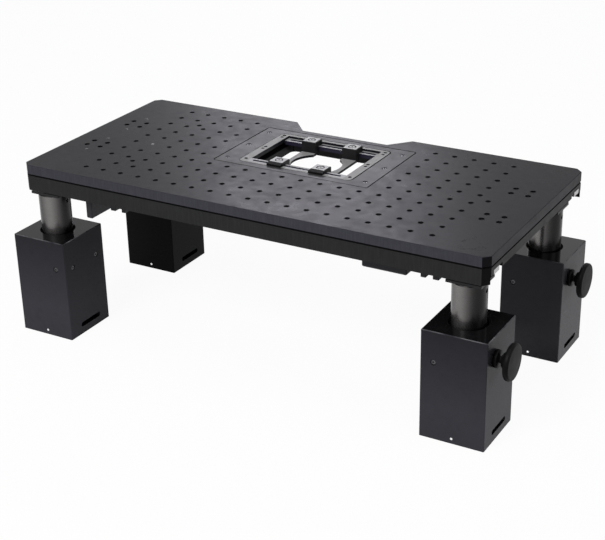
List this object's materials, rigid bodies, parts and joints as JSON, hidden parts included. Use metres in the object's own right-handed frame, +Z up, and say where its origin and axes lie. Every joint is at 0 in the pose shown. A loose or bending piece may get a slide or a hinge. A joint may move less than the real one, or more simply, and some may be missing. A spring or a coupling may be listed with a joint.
{
  "type": "motorized electrophysiology platform",
  "caption": "Dark metal breadboard plate on a two-axis slide with a sample holder in its middle, carried on steel posts in black leg boxes with clamp knobs.",
  "frame": {"origin": "centre of the bounding box at floor level, under the legs", "axes": "+X along the plate to the side with the clamp knobs, +Y to the back with the notch, +Z up"},
  "size_m": [0.641, 0.2976, 0.2182],
  "materials": {
    "plate_coat": "dark hard-anodised, satin",
    "insert_coat": "dark hard-anodised, satin",
    "frame_coat": "dark anodised with a bright milled top, satin",
    "bar_coat": "dark anodised with a bright milled top, satin",
    "rail_steel": "ground steel",
    "carriage_steel": "ground steel",
    "post_steel": "dark plated, satin",
    "leg_coat": "black anodised, satin",
    "base_coat": "dark anodised, satin",
    "housing_coat": "black, satin",
    "knob_plastic": "matte, moulded"
  },
  "bodies": {
    "base": {"base_frame": "base_coat", "right_drive_housing": "housing_coat", "left_drive_housing": "housing_coat", "x_carriage_left_front": "carriage_steel", "x_carriage_left_rear": "carriage_steel", "x_carriage_right_front": "carriage_steel", "x_carriage_right_rear": "carriage_steel", "post_mount_left_front": "base_coat", "post_mount_left_rear": "base_coat", "post_mount_right_front": "base_coat", "post_mount_right_rear": "base_coat", "post_left_front": "post_steel", "post_left_rear": "post_steel", "post_right_front": "post_steel", "post_right_rear": "post_steel"},
    "deck": {"deck_plate": "plate_coat", "x_rail_front": "rail_steel", "x_rail_rear_left": "rail_steel", "x_rail_rear_right": "rail_steel", "y_rail_left": "rail_steel", "y_rail_right": "rail_steel"},
    "top": {"top_plate": "plate_coat", "insert_plate": "insert_coat", "holder_frame": "frame_coat", "front_slotted_bar": "bar_coat", "rear_slotted_bar": "bar_coat", "y_carriage_left_front": "carriage_steel", "y_carriage_left_rear": "carriage_steel", "y_carriage_right_front": "carriage_steel", "y_carriage_right_rear": "carriage_steel"},
    "left_arm": {"left_dish_arm": "bar_coat", "left_front_clamp": "bar_coat", "left_rear_clamp": "bar_coat"},
    "right_arm": {"right_dish_arm": "bar_coat", "right_front_clamp": "bar_coat", "right_rear_clamp": "bar_coat"},
    "leg_left_front": {"leg_box_left_front": "leg_coat"},
    "leg_left_rear": {"leg_box_left_rear": "leg_coat"},
    "leg_right_front": {"leg_box_right_front": "leg_coat"},
    "leg_right_rear": {"leg_box_right_rear": "leg_coat"},
    "knob_front": {"clamp_knob_front": "knob_plastic"},
    "knob_rear": {"clamp_knob_rear": "knob_plastic"}
  },
  "joints": [
    {"name": "x_slide", "type": "slide", "parent": "base", "child": "deck", "axis": [1, 0, 0], "range_m": [-0.0125, 0.0125]},
    {"name": "y_slide", "type": "slide", "parent": "deck", "child": "top", "axis": [0, 1, 0], "range_m": [-0.0125, 0.0125]},
    {"name": "left_arm_slide", "type": "slide", "parent": "top", "child": "left_arm", "axis": [-1, 0, 0], "range_m": [-0.015, 0.02]},
    {"name": "right_arm_slide", "type": "slide", "parent": "top", "child": "right_arm", "axis": [1, 0, 0], "range_m": [-0.015, 0.02]},
    {"name": "leg_left_front_slide", "type": "slide", "parent": "base", "child": "leg_left_front", "axis": [0, 0, 1], "range_m": [-0.04, 0.04]},
    {"name": "leg_left_rear_slide", "type": "slide", "parent": "base", "child": "leg_left_rear", "axis": [0, 0, 1], "range_m": [-0.04, 0.04]},
    {"name": "leg_right_front_slide", "type": "slide", "parent": "base", "child": "leg_right_front", "axis": [0, 0, 1], "range_m": [-0.04, 0.04]},
    {"name": "leg_right_rear_slide", "type": "slide", "parent": "base", "child": "leg_right_rear", "axis": [0, 0, 1], "range_m": [-0.04, 0.04]},
    {"name": "knob_front_turn", "type": "hinge", "parent": "leg_right_front", "child": "knob_front", "pos_m": [0.2985, -0.12725, 0.102], "axis": [1, 0, 0], "range_deg": [0, 360]},
    {"name": "knob_rear_turn", "type": "hinge", "parent": "leg_right_rear", "child": "knob_rear", "pos_m": [0.2985, 0.09275, 0.102], "axis": [1, 0, 0], "range_deg": [0, 360]}
  ]
}
